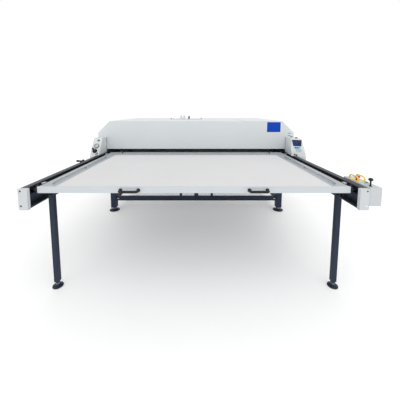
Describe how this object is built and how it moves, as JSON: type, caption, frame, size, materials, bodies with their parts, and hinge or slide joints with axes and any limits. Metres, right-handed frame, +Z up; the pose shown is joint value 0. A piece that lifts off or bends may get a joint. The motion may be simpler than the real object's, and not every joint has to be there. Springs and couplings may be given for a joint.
{
  "type": "drawer heat press",
  "caption": "Large flat heat press on a steel frame, with a pull-out table, a hood that holds the heated platen, and side consoles.",
  "frame": {"origin": "on the floor, in the middle of the outline", "axes": "+X right and +Y backward as the operator sees it, +Z up"},
  "size_m": [2.476, 2.678, 1.342],
  "materials": {
    "painted_frame": "satin powder coat",
    "light_sheet": "satin powder coat",
    "dark_plastic": "matte",
    "steel": "zinc plated",
    "aluminium": "brushed anodised",
    "pad_fabric": "matte woven",
    "insulation": "matte",
    "blue_panel": "gloss",
    "window_glass": "clear",
    "yellow": "gloss",
    "red": "gloss",
    "lamp_lens": "gloss",
    "green": "gloss",
    "key_blue": "satin",
    "chrome": "polished",
    "brass": "plated",
    "fitting_grey": "satin"
  },
  "bodies": {
    "frame": {"side_beam_left": "painted_frame", "side_beam_right": "painted_frame", "running_rails": "steel", "end_caps": "light_sheet", "cap_screws": "steel", "front_legs": "painted_frame", "hood_posts": "painted_frame", "levelling_feet": "dark_plastic", "lower_frame": "painted_frame", "bed_frame": "painted_frame", "press_frame": "painted_frame", "press_cylinders": "aluminium", "guide_blocks": "painted_frame", "hood_front": "light_sheet", "hood_top": "light_sheet", "hood_corners": "light_sheet", "hood_sides": "light_sheet", "hood_rear": "light_sheet", "badge_plate": "blue_panel", "top_fittings": "fitting_grey", "console_left": "light_sheet", "console_right": "light_sheet", "gauge_case": "chrome", "display_bezel": "dark_plastic", "instrument_windows": "window_glass", "lamps": "lamp_lens", "control_box": "light_sheet", "estop_guard": "yellow", "button_bases": "dark_plastic", "lever_bracket": "painted_frame", "electrics_cabinet": "light_sheet", "cable_gland": "brass", "air_unit": "aluminium"},
    "table": {"table_frame": "painted_frame", "table_deck": "aluminium", "table_fascia": "light_sheet", "pad": "pad_fabric", "clamp_rods": "steel", "handles": "dark_plastic", "carriages": "steel", "guide_pads": "dark_plastic"},
    "platen": {"platen_plate": "aluminium", "platen_insulation": "insulation", "platen_cover": "steel", "platen_rods": "steel"},
    "front_wheelset": {"front_wheelset": "steel"},
    "rear_wheelset": {"rear_wheelset": "steel"},
    "gauge_needle": {"gauge_needle": "dark_plastic"},
    "regulator_knob": {"regulator_knob": "dark_plastic"},
    "valve_knob": {"valve_knob": "dark_plastic"},
    "rocker": {"rocker": "dark_plastic"},
    "estop_button": {"estop_button": "red"},
    "start_button": {"start_button": "green"},
    "joystick": {"joystick": "dark_plastic"},
    "lock_lever": {"lock_lever": "dark_plastic"},
    "key_down": {"key_down": "key_blue"},
    "key_up": {"key_up": "key_blue"},
    "key_enter": {"key_enter": "key_blue"},
    "timer_knob": {"timer_knob": "dark_plastic"},
    "buzzer_knob": {"buzzer_knob": "dark_plastic"}
  },
  "joints": [
    {"name": "table_slide", "type": "slide", "parent": "frame", "child": "table", "axis": [0, 1, 0], "range_m": [0, 1.33]},
    {"name": "front_wheelset_spin", "type": "hinge", "parent": "table", "child": "front_wheelset", "pos_m": [0, -1.225, 0.868], "axis": [1, 0, 0], "continuous": true},
    {"name": "rear_wheelset_spin", "type": "hinge", "parent": "table", "child": "rear_wheelset", "pos_m": [0, -0.06, 0.868], "axis": [1, 0, 0], "continuous": true},
    {"name": "platen_press", "type": "slide", "parent": "frame", "child": "platen", "axis": [0, 0, -1], "range_m": [0, 0.0325], "stiffness_N_per_m": 60000, "springref_m": -0.08},
    {"name": "regulator_turn", "type": "hinge", "parent": "frame", "child": "regulator_knob", "pos_m": [-1.1755, -0.15852, 0.941], "axis": [0, -0.8307, 0.5568], "range_deg": [-135, 135]},
    {"name": "gauge_sweep", "type": "hinge", "parent": "frame", "child": "gauge_needle", "pos_m": [-1.1685, -0.12233, 0.99499], "axis": [0, -0.8307, 0.5568], "range_deg": [-135, 135]},
    {"name": "valve_turn", "type": "hinge", "parent": "frame", "child": "valve_knob", "pos_m": [-1.196, -0.14711, 0.95803], "axis": [0, -0.8307, 0.5568], "range_deg": [-90, 90]},
    {"name": "rocker_tilt", "type": "hinge", "parent": "frame", "child": "rocker", "pos_m": [-1.1615, -0.0819, 1.05818], "axis": [1, 0, 0], "range_deg": [-4, 4]},
    {"name": "estop_press", "type": "slide", "parent": "frame", "child": "estop_button", "axis": [0, 0, -1], "range_m": [0, 0.005], "stiffness_N_per_m": 1500},
    {"name": "start_press", "type": "slide", "parent": "frame", "child": "start_button", "axis": [0, 0, -1], "range_m": [0, 0.005], "stiffness_N_per_m": 800},
    {"name": "joystick_tilt", "type": "hinge", "parent": "frame", "child": "joystick", "pos_m": [1.17, -1.3, 0.906], "axis": [1, 0, 0], "range_deg": [-18, 18], "stiffness_Nm_per_rad": 1.5},
    {"name": "lock_lever_turn", "type": "hinge", "parent": "frame", "child": "lock_lever", "pos_m": [-1.153, -0.505, 0.901], "axis": [0, 1, 0], "range_deg": [0, 75]},
    {"name": "key_down_press", "type": "slide", "parent": "frame", "child": "key_down", "axis": [0.3231, 0.7417, -0.5878], "range_m": [0, 0.0018], "stiffness_N_per_m": 600},
    {"name": "key_up_press", "type": "slide", "parent": "frame", "child": "key_up", "axis": [0.3231, 0.7417, -0.5878], "range_m": [0, 0.0018], "stiffness_N_per_m": 600},
    {"name": "key_enter_press", "type": "slide", "parent": "frame", "child": "key_enter", "axis": [0.3231, 0.7417, -0.5878], "range_m": [0, 0.0018], "stiffness_N_per_m": 600},
    {"name": "timer_knob_turn", "type": "hinge", "parent": "frame", "child": "timer_knob", "pos_m": [1.11915, -0.24096, 0.91636], "axis": [-0.3832, -0.8797, 0.2815], "range_deg": [-135, 135]},
    {"name": "buzzer_knob_turn", "type": "hinge", "parent": "frame", "child": "buzzer_knob", "pos_m": [1.13784, -0.25063, 0.91157], "axis": [-0.3832, -0.8797, 0.2815], "range_deg": [-135, 135]}
  ],
  "couplings": [
    {"joint": "front_wheelset_spin", "follows": "table_slide", "rad_per_m": -55.556},
    {"joint": "rear_wheelset_spin", "follows": "table_slide", "rad_per_m": -55.556},
    {"joint": "gauge_sweep", "follows": "regulator_turn", "ratio": 1}
  ]
}
